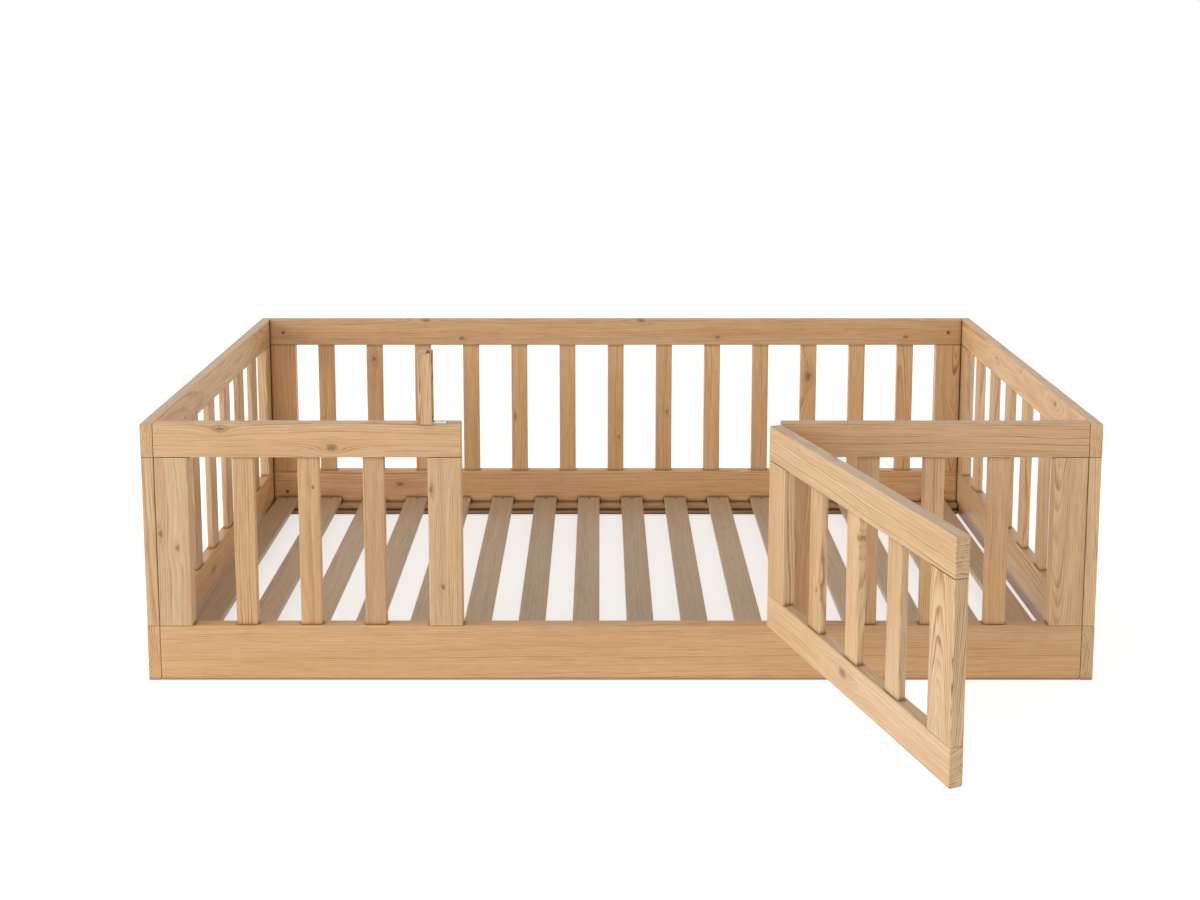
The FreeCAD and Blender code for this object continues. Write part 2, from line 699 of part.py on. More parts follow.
def screw(kind):
    """A countersunk wood screw down its own Z, its head's top face at the origin, cross recessed."""
    body = new_body(kind, kept=False)
    head = f"({kind}_head - {kind}_diameter) / 2"
    radius = f"{kind}_diameter / 2"
    turned(add(body, "AdditiveCone", Radius1=f"{kind}_head / 2", Radius2=radius, Height=head),
           ("0", "0", "0"), "-z")
    rod(body, ("0", "0", f"-({head}) / 2"), radius, f"{kind}_length - {kind}_diameter - ({head}) / 2", "-z")
    turned(add(body, "AdditiveCone", Radius1=radius, Radius2=f"{radius} / 4", Height=f"{kind}_diameter"),
           ("0", "0", f"{kind}_diameter - {kind}_length"), "-z")
    wide = f"{kind}_diameter / 4"
    long = f"{kind}_head / 2"
    for length, width in ((long, wide), (wide, long)):
        block(body, "SubtractiveBox", (f"-{length} / 2", f"-{width} / 2", f"-{radius}"), length, width,
              f"{kind}_diameter")
    return body


def build_fasteners():
    """Dowels, corner bolts with their barrel nuts, hinge pins and screws."""
    dowel = new_body("dowel", kept=False)
    rod(dowel, ("0", "0", "-dowel_length / 2"), "dowel_diameter / 2", "dowel_length")
    for label, on_gate in (("frame_dowels", False), ("gate_dowels", True)):
        spots = [spot(frame, f"{x} {side} dowel_spacing / 2", y, z)
                 for frame, x, y, base, height in stile_feet if (frame == "gate") == on_gate
                 for z in (base, f"{base} + {height}") for side in "-+"]
        group(label, (dowel, spots))

    bolt = new_body("bolt", kept=False)
    rod(bolt, ("0", "0", "0"), "bolt_head_diameter / 2", "bolt_head_height")
    rod(bolt, ("0", "0", "0"), "bolt_diameter / 2", "bolt_length", "-z")
    socket = add(bolt, "SubtractivePrism", Circumradius="bolt_socket", Height="bolt_head_height")
    place(socket, ("0", "0", "bolt_head_height / 2"))
    nut = new_body("nut", kept=False)
    rod(nut, ("0", "0", "-nut_length / 2"), "nut_diameter / 2", "nut_length")
    drill(nut, ("-nut_diameter", "0", "0"), "(bolt_diameter + bore_slack) / 2", "2 * nut_diameter", "x")
    block(nut, "SubtractiveBox", ("-nut_diameter", "-nut_slot / 2", "-nut_length / 2 - nut_slot"),
          "2 * nut_diameter", "nut_slot", "2 * nut_slot")
    corners = [(frame, end, z) for frame in ("front", "back") for end in "-+"
               for z in ("bottom_rail_height / 2", "rail_line + top_rail_height / 2")]
    bolt_spots = [spot(frame, f"{end}(inner_length / 2 + board - bolt_recess)", "0", z,
                       "x" if end == "-" else "-x") for frame, end, z in corners]
    nut_spots = [spot(frame, f"{end}(inner_length / 2 - nut_setback)", "0", z,
                      "y" if frame == "front" else "-y") for frame, end, z in corners]
    group("corner_bolts", (bolt, bolt_spots))
    group("barrel_nuts", (nut, nut_spots))

    upright = [spot("front", "gate_pin_line", "-gate_pin_front", middle) for middle in hinge_middles()]
    level = spot("front", "-latch_line", "0", "fence_top + latch_leaf_offset", "y")
    group("hinge_pins", (hinge_pin("gate"), upright), (hinge_pin("latch"), [level]))

    base_screw = screw("base_screw")
    hinge_screw = screw("hinge_screw")
    slat_top = "ledger_height + bed_slat_thickness"
    base_spots = [spot("front", bed_slat_line(index), y, slat_top) for index in bed_slat_indexes()
                  for y in ("board / 2 + base_screw_line", "back_line - board / 2 - base_screw_line")]
    ledger_y = "board / 2 + ledger_depth - groove_depth"
    for x in ledger_screw_lines():
        base_spots.append(spot("front", x, ledger_y, "groove_rise + groove_height / 2", "-y"))
        base_spots.append(spot("back", x, f"-({ledger_y})", "groove_rise + groove_height / 2", "y"))
    seat_spots = [spot("front", "doorway_width / 2", "gate_screw_line - gate_pin_front", height, "x")
                  for height in hinge_screw_heights()]
    rail_spots = [spot("front", f"{x} - latch_line", "0", "fence_top + latch_leaf_thickness")
                  for x in latch_screw_places()]
    gate_spots = [spot("gate", "gate_leaf_thickness - gate_edge", "gate_screw_line", height, "-x")
                  for height in hinge_screw_heights()]
    bar_spots = [spot("front", "-latch_line - latch_leaf_offset + latch_leaf_thickness", "0",
                      f"fence_top + latch_leaf_offset + {x}", "-x") for x in latch_screw_places()]
    group("frame_screws", (base_screw, base_spots), (hinge_screw, seat_spots + rail_spots))
    group("gate_hinge_screws", (hinge_screw, gate_spots))
    group("latch_hinge_screws", (hinge_screw, bar_spots))


# ---- build, check and write ----------------------------------------------------------------------

build_back()
build_side("left", "board / 2", "-y")
build_side("right", "-board / 2", "y")
build_front()
build_gate()
build_gate_hinges()
build_latch()
build_bed_base()
build_fasteners()
doc.recompute()

for item in doc.Objects:
    if {"Invalid", "Error"} & set(item.State):
        raise SystemExit(f"{item.Label} did not build: {item.State}")
for part in sub_parts:
    if part.Shape.isNull() or not part.Shape.isValid():
        raise SystemExit(f"{part.Label} has no valid shape")

os.makedirs("parts", exist_ok=True)
for part in sub_parts:
    part.Shape.exportStep(f"parts/{part.Label}.step")
    print(part.Label, len(part.Shape.Solids), round(part.Shape.Volume))
print(len(sub_parts), "sub-parts")
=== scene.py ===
# Toddler floor bed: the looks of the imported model, a pine bed with a fence, a gate and a latch bar.
# Each board is cut from a log of its own, so its growth rings run on round its edges and ends. The
# hinges, screws, bolts and nuts are zinc plated, the dowels beech. Every solid keeps its shape.

import math

import bpy
import numpy as np
from mathutils import Matrix, Vector

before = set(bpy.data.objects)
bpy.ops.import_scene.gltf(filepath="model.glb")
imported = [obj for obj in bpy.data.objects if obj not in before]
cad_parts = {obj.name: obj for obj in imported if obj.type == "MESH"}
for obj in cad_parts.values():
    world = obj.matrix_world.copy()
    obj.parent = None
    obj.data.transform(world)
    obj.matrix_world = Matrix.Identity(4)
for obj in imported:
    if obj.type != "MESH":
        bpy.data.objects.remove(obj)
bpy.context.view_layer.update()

MM = 0.001  # metres
GATE_TURN = 110  # degrees that the gate stands open at rest
SLAT_WIDTH, SLAT_PITCH = 45, 135  # the fence slats and their nominal spacing, mm
SEAM_SHADE_REACH = 9  # how far the painted shade darkens the wood beside a seam, mm
# how far apart the logs of two boards, and of two slats of one fence, lie in the noise
BOARD_STEP, SLAT_STEP = 11.0, 7.0
CHANCE_SEED = 41  # for the boards' draws
WHITE = (1, 1, 1, 1)


def linear(code, shade=1.0):
    """An sRGB hex value as linear red, green, blue and full alpha, times a shade."""
    parts = [int(code[i:i + 2], 16) / 255 for i in (1, 3, 5)]
    return [shade * (c / 12.92 if c <= 0.04045 else ((c + 0.055) / 1.055) ** 2.4)
            for c in parts] + [1.0]


def add(tree, kind, inputs=(), out=0, **settings):
    """Adds a node with its settings, fills its inputs in order or by name, gives one output.

    An input is a plain value, another node's output to link, or None to leave it alone."""
    made = tree.nodes.new(kind if kind.startswith("Node") else "ShaderNode" + kind)
    for name, setting in settings.items():
        setattr(made, name, setting)
    for key, given in inputs.items() if isinstance(inputs, dict) else enumerate(inputs):
        if isinstance(given, bpy.types.NodeSocket):
            tree.links.new(given, made.inputs[key])
        elif given is not None:
            made.inputs[key].default_value = given
    return made.outputs[out] if len(made.outputs) else None


def new_material(name):
    """A material of that name, its node tree and its surface shader."""
    material = bpy.data.materials.new(name)
    material.use_nodes = True
    return material, material.node_tree, material.node_tree.nodes["Principled BSDF"]


def new_group(name, inputs, outputs):
    """An empty node group with those sockets, each a name and a type; gives it and its inputs."""
    group = bpy.data.node_groups.new(name, "ShaderNodeTree")
    for way, sockets in (("INPUT", inputs), ("OUTPUT", outputs)):
        for socket, kind in sockets.items():
            group.interface.new_socket(socket, in_out=way, socket_type="NodeSocket" + kind)
    return group, add(group, "NodeGroupInput").node.outputs


# ---- pine ----------------------------------------------------------------------------------------

def growth_group():
    """Growth rings of a log, as a solid pattern in millimetres.

    The rings are numbered by the distance from the pith, a line that leans through the board and
    wanders a few millimetres. Within a ring the pale early wood darkens slowly into a hard late
    line and then starts pale again. Each ring has its own strength, and their widths vary.
    It gives the late wood, the fibres, the resin canals and the broad tone, each about 0 to 1."""
    group, given = new_group(
        "growth_rings",
        {"Place": "Vector", "Pith": "Vector", "Lean": "Vector", "Ring": "Float", "Swell": "Float",
         "Log": "Float"},
        {"Late": "Float", "Fibre": "Float", "Canal": "Float", "Tone": "Float"})
    place, pith, lean, ring, swell, log = (given[i] for i in range(6))
    along = add(group, "SeparateXYZ", [place])
    centre = add(group, "VectorMath", [lean, along, pith], operation="MULTIPLY_ADD")
    away = add(group, "VectorMath", [place, centre], operation="SUBTRACT")
    # the log's slow wander, over about 400 mm along it and 90 mm across
    slow = add(group, "VectorMath", [place, (1 / 400, 1 / 90, 1 / 90)], operation="MULTIPLY")
    wander = add(group, "TexNoise", {"Vector": slow, "W": log, "Scale": 1.0, "Detail": 1.0},
                 out="Color", noise_dimensions="4D")
    wander = add(group, "VectorMath", [wander, (0.5, 0.5, 0.5)], operation="SUBTRACT")
    away = add(group, "VectorMath", [wander, (0, 26, 26), away], operation="MULTIPLY_ADD")
    away = add(group, "VectorMath", [away, (0, 1, 1)], operation="MULTIPLY")
    radius = add(group, "VectorMath", [away], out="Value", operation="LENGTH")
    radius = add(group, "Math", [radius, swell], operation="ADD")
    # rings of uneven width, the narrow and the wide ones in turn over about 30 mm
    years = add(group, "Math", [radius, 1 / 30, log], operation="MULTIPLY_ADD")
    years = add(group, "TexNoise", {"W": years, "Scale": 1.0, "Detail": 2.0}, noise_dimensions="1D")
    # small ripples, 110 mm long and 13 mm across
    ripple = add(group, "VectorMath", [place, (1 / 110, 1 / 13, 1 / 13)], operation="MULTIPLY")
    ripple = add(group, "TexNoise", {"Vector": ripple, "W": log, "Scale": 1.0, "Detail": 2.0},
                 noise_dimensions="4D")
    count = add(group, "Math", [radius, ring], operation="DIVIDE")
    count = add(group, "Math", [years, 3.2, count], operation="MULTIPLY_ADD")
    count = add(group, "Math", [ripple, 1.0, count], operation="MULTIPLY_ADD")
    within = add(group, "Math", [count], operation="FRACT")
    number = add(group, "Math", [add(group, "Math", [count], operation="FLOOR"), log], operation="ADD")
    strength = add(group, "TexWhiteNoise", {"W": number}, noise_dimensions="1D")
    strength = add(group, "Math", [strength, 1.6], operation="POWER")
    strength = add(group, "MapRange", {"Value": strength, "To Min": 0.3, "To Max": 1.15})
    rise = add(group, "MapRange", {"Value": within, "From Min": 0.25, "From Max": 0.86},
               interpolation_type="SMOOTHSTEP")
    fall = add(group, "MapRange", {"Value": within, "From Min": 0.88, "From Max": 1.0,
                                   "To Min": 1.0, "To Max": 0.0}, interpolation_type="SMOOTHSTEP")
    late = add(group, "Math", [rise, fall], operation="MULTIPLY")
    late = add(group, "Math", [late, strength], operation="MULTIPLY")
    # a late line fades and comes back along the board
    fade = add(group, "MapRange", {"Value": ripple, "From Min": 0.35, "From Max": 0.65,
                                   "To Min": 0.45, "To Max": 1.2})
    late = add(group, "Math", [late, fade], operation="MULTIPLY")
    # bundles of fibres, 90 mm long and 2 mm across, and the finer ones within them
    fibre = add(group, "VectorMath", [place, (1 / 90, 1 / 2, 1 / 2)], operation="MULTIPLY")
    fibre = add(group, "TexNoise", {"Vector": fibre, "Scale": 1.0, "Detail": 3.0, "Roughness": 0.7})
    # resin canals, fine dark dashes along the grain, drawn 1.5 mm wide so that they show
    canal = add(group, "VectorMath", [place, (1 / 45, 1 / 1.5, 1 / 1.5)], operation="MULTIPLY")
    canal = add(group, "TexNoise", {"Vector": canal, "W": log, "Scale": 1.0, "Detail": 1.0},
                noise_dimensions="4D")
    canal = add(group, "MapRange", {"Value": canal, "From Min": 0.56, "From Max": 0.7})
    # broad streaks of paler and redder wood
    tone = add(group, "VectorMath", [place, (1 / 420, 1 / 22, 1 / 22)], operation="MULTIPLY")
    tone = add(group, "TexNoise", {"Vector": tone, "W": log, "Scale": 1.0, "Detail": 2.0},
               noise_dimensions="4D")
    add(group, "NodeGroupOutput", {"Late": late, "Fibre": fibre, "Canal": canal, "Tone": tone})
    return group


def knot_group():
    """One knot: a branch through the board, and the grain that parts round it.

    A place at distance y across the grain is read nearer to the branch by S squared over y, as a
    stream parts round a post, so the rings bend round the knot, and they swell out over it by a
    bell curve. S is a third larger than the core's radius, and a constant keeps the bend finite
    within the core. The core is a spindle along the grain with a soft, uneven edge, and the wood
    in the bell round it is duller."""
    group, given = new_group(
        "knot", {"Place": "Vector", "Knot": "Vector", "Radius": "Float"},
        {"Place": "Vector", "Swell": "Float", "Core": "Float", "Halo": "Float"})
    place, knot, radius = (given[i] for i in range(3))
    away = add(group, "VectorMath", [place, knot], operation="SUBTRACT")
    # the branch leans up the trunk by a fifth of the depth
    x, y, z = add(group, "SeparateXYZ", [away]).node.outputs
    x = add(group, "Math", [z, -0.2, x], operation="MULTIPLY_ADD")
    flat = add(group, "CombineXYZ", [x, y])
    # the bend reaches about twice as far along the grain as across it
    apart = add(group, "VectorMath", [flat, (0.3, 0.67, 1)], operation="MULTIPLY")
    apart = add(group, "VectorMath", [apart], out="Value", operation="LENGTH")
    apart = add(group, "Math", [apart, radius], operation="DIVIDE")
    square = add(group, "Math", [apart, apart, 0.35], operation="MULTIPLY_ADD")
    pull = add(group, "Math", [-0.8, square], operation="DIVIDE")
    pull = add(group, "Math", [pull, y], operation="MULTIPLY")
    shift = add(group, "CombineXYZ", [0.0, pull])
    bent = add(group, "VectorMath", [place, shift], operation="ADD")
    # the rings bulge by up to 1.2 times the core's radius, and the wood next to the core is duller
    bell = add(group, "Math", [square, -0.3], operation="MULTIPLY")
    bell = add(group, "Math", [bell], operation="EXPONENT")
    most = add(group, "Math", [radius, -1.3], operation="MULTIPLY")
    swell = add(group, "Math", [bell, most], operation="MULTIPLY")
    halo = add(group, "Math", [bell, 3.0], operation="POWER")
    # the core's ragged edge, in lumps 5 mm long and 2.5 mm across
    rough = add(group, "VectorMath", [place, (1 / 5, 1 / 2.5, 1 / 5)], operation="MULTIPLY")
    rough = add(group, "TexNoise", {"Vector": rough, "Scale": 1.0, "Detail": 3.0})
    reach = add(group, "VectorMath", [flat, (0.6, 1, 1)], operation="MULTIPLY")
    reach = add(group, "VectorMath", [reach], out="Value", operation="LENGTH")
    reach = add(group, "Math", [reach, radius], operation="DIVIDE")
    reach = add(group, "Math", [rough, 1.4, reach], operation="MULTIPLY_ADD")
    core = add(group, "MapRange", {"Value": reach, "From Min": 0.85, "From Max": 1.75,
                                   "To Min": 0.9, "To Max": 0.0}, interpolation_type="SMOOTHSTEP")
    add(group, "NodeGroupOutput", {"Place": bent, "Swell": swell, "Core": core, "Halo": halo})
    return group


GROWTH, KNOT = growth_group(), knot_group()
# the last of these colours is the dark brown of the painted shade in the seams between boards
RESIN, KNOT_EDGE, KNOT_CORE, SEAM_SHADE = "#8F673F", "#B08C62", "#876440", "#5E3817"


def grain_axes(node):
    """The board's own axes as columns: along its grain, across its face, and through it."""
    if node.startswith("bed_slat_"):
        axes = Matrix(((0, 1, 0), (1, 0, 0), (0, 0, -1))).transposed()
    elif node.endswith(("_rail", "_ledger")):
        axes = Matrix(((1, 0, 0), (0, 0, 1), (0, -1, 0))).transposed()
    else:
        axes = Matrix(((0, 0, 1), (1, 0, 0), (0, 1, 0))).transposed()
    turn = 0
    if node.startswith("gate_"):
        turn = GATE_TURN
    elif node.startswith(("left_", "right_")):
        turn = 90
    return Matrix.Rotation(math.radians(turn), 3, "Z") @ axes


def board_frame(node):
    """The board's axes, its middle in metres and its width across the grain in millimetres."""
    axes = grain_axes(node)
    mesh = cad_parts[node].data
    points = np.empty(len(mesh.vertices) * 3)
    mesh.vertices.foreach_get("co", points)
    spans = points.reshape(-1, 3) @ np.array(axes)
    low, high = spans.min(0), spans.max(0)
    return axes, axes @ Vector((low + high) / 2), (high - low)[1] / MM


def pine(node, finish, pith, lean, ring, tone, pale, log, figure=1.0, knots=()):
    """Planed pine, clear oiled: straw early wood, tan late lines, a soft low sheen.

    The pith and the lean are across the face and through the board, in millimetres and in
    millimetres per millimetre. Boards run from warm heartwood, pale 0, to sapwood, pale 1, and
    figure is how much the late lines stand out. Each knot is a distance along and across from
    the board's middle and a radius. Slats that share a node get a log each, by their number."""
    material, tree, shader = new_material(f"{finish['name']}_{node}")
    axes, middle, width = board_frame(node)
    at = add(tree, "TexCoord", out="Object")
    place = add(tree, "Mapping", [at, middle, axes.to_euler(), (MM, MM, MM)], vector_type="TEXTURE")
    swell, core, halo = 0.0, 0.0, 0.0
    for along, across, radius in knots:
        knot = add(tree, "Group", [place, (along, across, 0), radius], node_tree=KNOT).node.outputs
        place = knot["Place"]
        swell = add(tree, "Math", [swell, knot["Swell"]], operation="ADD")
        core = add(tree, "Math", [core, knot["Core"]], operation="MAXIMUM")
        halo = add(tree, "Math", [halo, knot["Halo"]], operation="MAXIMUM")
    # each slat of a fence is moved to the middle, where its own log and shade are given to it
    number, pith_at, vary = log, (0, *pith), 1.0
    if node.endswith("_fence_slats"):
        slats = round((width - SLAT_WIDTH) / SLAT_PITCH) + 1
        pitch = (width - SLAT_WIDTH) / (slats - 1)
        across = add(tree, "SeparateXYZ", [place]).node.outputs[1]
        number = add(tree, "Math", [across, 1 / pitch, slats / 2], operation="MULTIPLY_ADD")
        number = add(tree, "Math", [number], operation="FLOOR")
        back = add(tree, "Math", [number, -pitch, pitch * (slats - 1) / 2], operation="MULTIPLY_ADD")
        back = add(tree, "CombineXYZ", [0.0, back])
        place = add(tree, "VectorMath", [place, back], operation="ADD")
        number = add(tree, "Math", [number, SLAT_STEP, log], operation="MULTIPLY_ADD")
        spread = add(tree, "TexWhiteNoise", {"W": number}, out="Color", noise_dimensions="1D")
        vary = add(tree, "MapRange", {"Value": spread, "From Min": 0.3, "From Max": 0.7,
                                      "To Min": 0.94, "To Max": 1.05})
        spread = add(tree, "VectorMath", [spread, (0.5, 0.5, 0.5)], operation="SUBTRACT")
        pith_at = add(tree, "VectorMath", [spread, (0, 150, 110), pith_at], operation="MULTIPLY_ADD")
    rings = add(tree, "Group", [place, pith_at, (0, *lean), ring, swell, number],
                node_tree=GROWTH).node.outputs
    # end grain drinks more oil, so it is a little darker, and its late lines show more
    normal = add(tree, "TexCoord", out="Normal")
    end = add(tree, "VectorMath", [normal, axes.col[0]], out="Value", operation="DOT_PRODUCT")
    end = add(tree, "Math", [end], operation="ABSOLUTE")
    end = add(tree, "MapRange", {"Value": end, "From Min": 0.6, "From Max": 0.95})
    contrast = add(tree, "Math", [end, 0.3, finish["contrast"] * figure], operation="MULTIPLY_ADD")
    contrast = add(tree, "Math", [halo, 0.3, contrast], operation="MULTIPLY_ADD")
    late = add(tree, "Math", [rings["Late"], contrast], operation="MULTIPLY")
    early = [warm + pale * (sap - warm)
             for warm, sap in zip(linear(finish["early"], tone), linear(finish["sapwood"], tone))]
    wood = add(tree, "Mix", {0: late, 6: early, 7: linear(finish["late"], tone)}, out=2,
               data_type="RGBA")
    streak = add(tree, "MapRange", {"Value": rings["Tone"], "From Min": 0.45, "From Max": 0.75,
                                    "To Max": finish["streaks"]})
    wood = add(tree, "Mix", {0: streak, 6: wood, 7: linear(finish["streak"], tone)}, out=2,
               data_type="RGBA")
    canal = add(tree, "Math", [rings["Canal"], 0.27], operation="MULTIPLY")
    wood = add(tree, "Mix", {0: canal, 6: wood, 7: linear(RESIN)}, out=2, data_type="RGBA")
    halo = add(tree, "Math", [halo, 0.5], operation="MULTIPLY")
    wood = add(tree, "Mix", {0: halo, 6: wood, 7: linear(KNOT_EDGE)}, out=2, data_type="RGBA")
    wood = add(tree, "Mix", {0: core, 6: wood, 7: linear(KNOT_CORE)}, out=2, data_type="RGBA")
    shade = add(tree, "MapRange", {"Value": rings["Fibre"], "From Min": 0.3, "From Max": 0.7,
                                   "To Min": 0.85, "To Max": 1.13})
    shade = add(tree, "Math", [end, -0.05, shade], operation="MULTIPLY_ADD")
    shade = add(tree, "Math", [shade, vary], operation="MULTIPLY")
    # painted shade: the wood darkens toward a dark brown where ambient occlusion finds other surfaces
    # near, in the seams between boards and where parts touch
    seam_shade = add(tree, "AmbientOcclusion", {"Distance": SEAM_SHADE_REACH * MM}, out="AO", samples=8)
    seam_shade = add(tree, "MapRange", {"Value": seam_shade, "From Min": 0.35})
    wood = add(tree, "VectorMath", [wood, shade], operation="MULTIPLY")
    wood = add(tree, "Mix", {0: seam_shade, 6: linear(SEAM_SHADE), 7: wood}, out=2, data_type="RGBA")
    tree.links.new(wood, shader.inputs["Base Color"])
    shader.inputs["Roughness"].default_value = finish["roughness"]
    # late wood stands a little proud of the planed face
    height = add(tree, "Math", [rings["Fibre"], 0.6, rings["Late"]], operation="MULTIPLY_ADD")
    bump = add(tree, "Bump", {"Strength": 0.5, "Distance": 0.15 * MM, "Height": height})
    tree.links.new(bump, shader.inputs["Normal"])
    return material


OILED_PINE = {"name": "oiled_pine", "early": "#DDB07D", "sapwood": "#E6C69B", "late": "#AC743F",
              "streak": "#CB955F", "contrast": 0.75, "streaks": 0.45, "roughness": 0.38}
# bare planed pine of the bed base, greyer than the oiled boards
BARE_PINE = {"name": "bare_pine", "early": "#DABE9B", "sapwood": "#DFC4A2", "late": "#B99972",
             "streak": "#C8AA86", "contrast": 0.5, "streaks": 0.4, "roughness": 0.45}

# Knots, each a distance along and across from the board's middle and a radius, in millimetres. Where
# the photograph shows them they are at their places, and faces that it doesn't show have a few too.
KNOTS = {
    "front_left_top_rail": [(-181, 25, 7), (48, -14.5, 9)],
    "front_left_outer_stile": [(21, -27, 6), (-9, 7, 6)],
    "front_left_inner_stile": [(-94, -6, 5), (115, -28, 6)],
    "front_left_fence_slats": [(118, 9, 4)],
    "back_top_rail": [(-532, 38, 9), (-432, -14, 7), (68, 36, 9), (281, -12, 6), (806, -12, 6)],
    "back_fence_slats": [(142, -675, 6), (-23, -282, 4), (-82, 9, 5), (-9, 144, 4), (92, 540, 11)],
    "gate_bottom_rail": [(20, 5, 12)],
    "gate_fence_slats": [(100, -20, 5), (-60, 130, 4)],
    "left_top_rail": [(-295, -16, 4)],
    "right_top_rail": [(154, 10, 6), (-42, 24, 5), (-292, 16, 8)],
    "left_bottom_rail": [(-120, 20, 9), (330, -30, 6)],
    "right_bottom_rail": [(60, -25, 8), (-380, 18, 7)],
    "back_bottom_rail": [(-610, 22, 9), (250, -30, 7), (700, 10, 8)],
    "right_rear_stile": [(60, 8, 6)],
    "left_rear_stile": [(-90, -10, 5)],
}
# Boards whose grain, tone or figure stands out. All else is drawn for each node in turn.
GRAIN = {
    "gate_free_stile": {"pith": (3, -24), "lean": (0.0, -0.045), "ring": 2.6, "tone": 0.92,
                        "figure": 1.5},
    "gate_top_rail": {"pith": (-95, 10), "lean": (0.02, 0.0), "pale": 1.0, "figure": 0.9},
    "gate_bottom_rail": {"pith": (110, -25), "tone": 0.97, "pale": 0.9, "figure": 0.8},
    "front_bottom_rail": {"pith": (-130, 45), "ring": 3.2, "pale": 0.1},
    "front_left_inner_stile": {"tone": 0.92, "pale": 0.7},
    "front_left_outer_stile": {"pith": (60, -80), "lean": (0.015, 0.01), "tone": 0.89, "pale": 0.75},
    "front_right_outer_stile": {"pith": (-26, -40), "lean": (0.01, 0.07)},
    "front_left_fence_slats": {"tone": 0.86, "figure": 0.9},
    "back_bottom_rail": {"tone": 1.03, "pale": 0.2},
    "back_fence_slats": {"tone": 1.0, "pale": 0.25},
    "left_bottom_rail": {"pith": (12, -150), "tone": 1.05, "pale": 0.0},
    "left_front_stile": {"tone": 0.89},
    "right_bottom_rail": {"pith": (-10, -160)},
    "left_top_rail": {"pith": (5, 140), "pale": 0.35, "figure": 0.9},
    "right_top_rail": {"pith": (-8, 130), "tone": 1.05, "pale": 0.5, "figure": 1.35},
    "back_left_stile": {"tone": 0.93, "pale": 0.0},
    "back_right_stile": {"pith": (18, -30), "lean": (0.0, 0.05), "ring": 3.2, "figure": 1.3},
    "right_front_stile": {"tone": 1.02},
    "latch_bar": {"pith": (-6, -26), "lean": (0.05, 0.03), "ring": 3.4, "pale": 0.6, "figure": 1.7},
}

chance = np.random.default_rng(CHANCE_SEED)
for number, node in enumerate(sorted(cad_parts)):
    turn, reach, slant, dip, ring, tone, pale = chance.random(7)
    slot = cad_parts[node].material_slots[0]
    kind = slot.material.name.split(".")[0]
    if kind not in ("pine", "pine_base"):
        continue
    base = node.startswith("bed_slat_")
    # the pith lies 50 to 140 mm to one side of the board's middle, so most faces show straight lines
    turn = math.radians(70 * turn - 35 + 180 * (number % 2))
    looks = {
        "pith": ((50 + 90 * reach) * math.cos(turn), (50 + 90 * reach) * math.sin(turn)),
        "lean": (0.02 * slant - 0.01, 0.03 * dip - 0.015),
        "ring": 3.6 + 1.6 * ring,
        "tone": 0.88 + 0.1 * tone,
        "pale": (0.6 if node.startswith(("left_", "right_", "gate_")) else 0.2) + 0.35 * pale,
        "log": BOARD_STEP * number,
        "knots": KNOTS.get(node, ()),
        **GRAIN.get(node, {}),
    }
    slot.material = pine(node, BARE_PINE if base else OILED_PINE, **looks)


# ---- metal and dowels ----------------------------------------------------------------------------

def zinc_plated(name, colour, roughness):
    """Zinc plating on pressed or turned steel, in the colour given: pale where it is bright plating,
    darker where the colour holds painted shade; faintly mottled, softly mirroring.
    """
    material, tree, shader = new_material(name)
    at = add(tree, "TexCoord", out="Object")
    mottle = add(tree, "TexNoise", {"Vector": at, "Scale": 1 / (2.5 * MM), "Detail": 3.0})
    tint = add(tree, "Mix", {0: mottle, 6: linear(colour), 7: linear(colour, 0.86)}, out=2,
               data_type="RGBA")
    tree.links.new(tint, shader.inputs["Base Color"])
    rough = add(tree, "MapRange", {"Value": mottle, "From Min": 0.3, "From Max": 0.7,
                                   "To Min": roughness - 0.06, "To Max": roughness + 0.08})
    tree.links.new(rough, shader.inputs["Roughness"])
    shader.inputs["Metallic"].default_value = 1.0
    grit = add(tree, "TexNoise", {"Vector": at, "Scale": 1 / (0.4 * MM), "Detail": 2.0})
    bump = add(tree, "Bump", {"Strength": 0.2, "Distance": 0.03 * MM, "Height": grit})
    tree.links.new(bump, shader.inputs["Normal"])
    return material


def beech(name):
    """Turned beech: pinkish tan with short darker flecks, about 1 mm by 3 mm."""
    material, tree, shader = new_material(name)
    at = add(tree, "TexCoord", out="Object")
    flecks = add(tree, "Mapping", {"Vector": at, "Scale": (900, 900, 350)})
    flecks = add(tree, "TexNoise", {"Vector": flecks, "Scale": 1.0, "Detail": 2.0})
    flecks = add(tree, "MapRange", {"Value": flecks, "From Min": 0.5, "From Max": 0.7})
    tint = add(tree, "Mix", {0: flecks, 6: linear("#D6AE82"), 7: linear("#A67C52")}, out=2,
               data_type="RGBA")
    tree.links.new(tint, shader.inputs["Base Color"])
    shader.inputs["Roughness"].default_value = 0.6
    bump = add(tree, "Bump", {"Strength": 0.3, "Distance": 0.05 * MM, "Height": flecks})
    tree.links.new(bump, shader.inputs["Normal"])
    return material


# by the kind that the model gives a fitting, or by the node's own name, which comes first
fittings = {
    "zinc_plated_steel": zinc_plated("zinc_plated_steel_pressed", "#D9DADA", 0.32),
    # the bolts and the frame screws are drawn in darker zinc: painted shade of the holes and recesses
    # they sit in
    "zinc_plated_bolt": zinc_plated("zinc_plated_steel_turned_painted_shade", "#8C8B89", 0.34),
    "frame_screws": zinc_plated("zinc_plated_steel_screws_painted_shade", "#77726C", 0.5),
    "beech_dowel": beech("turned_beech"),
}
for name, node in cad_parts.items():
    for slot in node.material_slots:
        kind = slot.material.name.split(".")[0]
        slot.material = fittings.get(name, fittings.get(kind, slot.material))


# ---- studio --------------------------------------------------------------------------------------

def seen_directly(tree):
    """1 for rays from the eye, from a mirror or through glass, 0 for the light that things get."""
    path = add(tree, "LightPath").node.outputs
    seen = add(tree, "Math", [path["Is Camera Ray"], path["Is Glossy Ray"]], operation="MAXIMUM")
    return add(tree, "Math", [seen, path["Is Transmission Ray"]], operation="MAXIMUM")


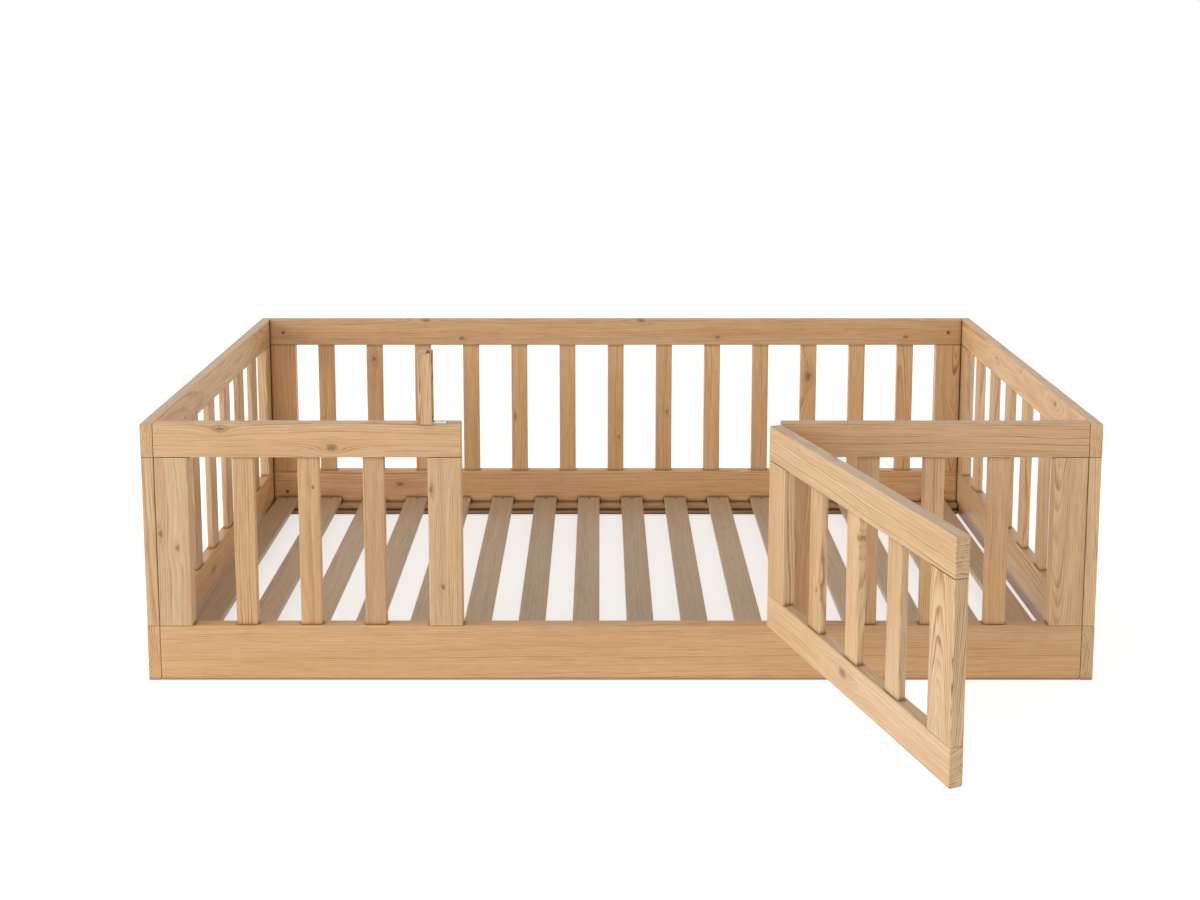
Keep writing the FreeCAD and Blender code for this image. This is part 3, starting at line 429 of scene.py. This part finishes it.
def white_floor(size, reflectance, lift):
    """A matt white floor. Seen directly it glows by the lift, so it reads white and keeps shadows."""
    half = size / 2
    mesh = bpy.data.meshes.new("studio_floor")
    corners = [(-half, -half, 0), (half, -half, 0), (half, half, 0), (-half, half, 0)]
    mesh.from_pydata(corners, [], [(0, 1, 2, 3)])
    floor = bpy.data.objects.new("studio_floor", mesh)
    bpy.context.scene.collection.objects.link(floor)
    material, tree, _ = new_material("matt_white_floor")
    tree.nodes.clear()
    paint = add(tree, "BsdfDiffuse", {"Color": (*reflectance, 1.0)})
    glow = add(tree, "Math", [seen_directly(tree), lift], operation="MULTIPLY")
    glow = add(tree, "Emission", {"Color": WHITE, "Strength": glow})
    both = add(tree, "AddShader", [paint, glow])
    add(tree, "OutputMaterial", [both])
    mesh.materials.append(material)


def white_room(walls, ceiling):
    """A white room whose walls are brighter than its ceiling.

    The light falls evenly from the walls' level at the horizon to the ceiling's where the sine
    of the height is 0.6. Seen directly the room is plain white."""
    world = bpy.data.worlds.new("white_room")
    world.use_nodes = True
    tree = world.node_tree
    tree.nodes.clear()
    height = add(tree, "SeparateXYZ", [add(tree, "TexCoord", out="Generated")]).node.outputs[2]
    level = add(tree, "MapRange", {"Value": height, "From Max": 0.6, "To Min": walls,
                                   "To Max": ceiling})
    level = add(tree, "MapRange", {"Value": seen_directly(tree), "To Min": level, "To Max": 1.0})
    light = add(tree, "Background", {"Color": WHITE, "Strength": level})
    add(tree, "OutputWorld", [light])
    bpy.context.scene.world = world


def softbox(name, place, aim, size, power):
    """A square lamp that wide, in metres, turned from its place to face the aim."""
    lamp = bpy.data.lights.new(name, "AREA")
    lamp.size, lamp.energy = size, power
    box = bpy.data.objects.new(name, lamp)
    box.location = place
    box.rotation_euler = (Vector(aim) - Vector(place)).to_track_quat("-Z", "Y").to_euler()
    bpy.context.scene.collection.objects.link(box)


white_floor(size=60.0, reflectance=(0.9, 0.9, 0.9), lift=0.62)
white_room(walls=2.3, ceiling=0.28)
softbox("key_light", place=(-5.4, -1.5, 2.1), aim=(0.0, 0.3, 0.3), size=2.5, power=150)

# The photograph is a level view, its horizon 433.5 pixels above the middle of 1200 x 900. Here the
# camera tilts down a little, so that the shift is smaller and other views show the whole bed.
SENSOR = 36  # mm wide
PHOTO_WIDTH, FOCAL_LENGTH = 1200, 1363.97  # pixels
DOWNWARD_TILT = 6.65  # degrees
camera = bpy.data.objects.new("camera", bpy.data.cameras.new("camera"))
camera.data.lens = SENSOR * FOCAL_LENGTH / PHOTO_WIDTH
camera.data.shift_y = -0.22
camera.location = (-0.0438, -2.7418, 1.3642)
camera.rotation_euler = (math.radians(90 - DOWNWARD_TILT), 0, 0)
bpy.context.scene.collection.objects.link(camera)
bpy.context.scene.camera = camera
bpy.context.scene.view_settings.view_transform = "Standard"
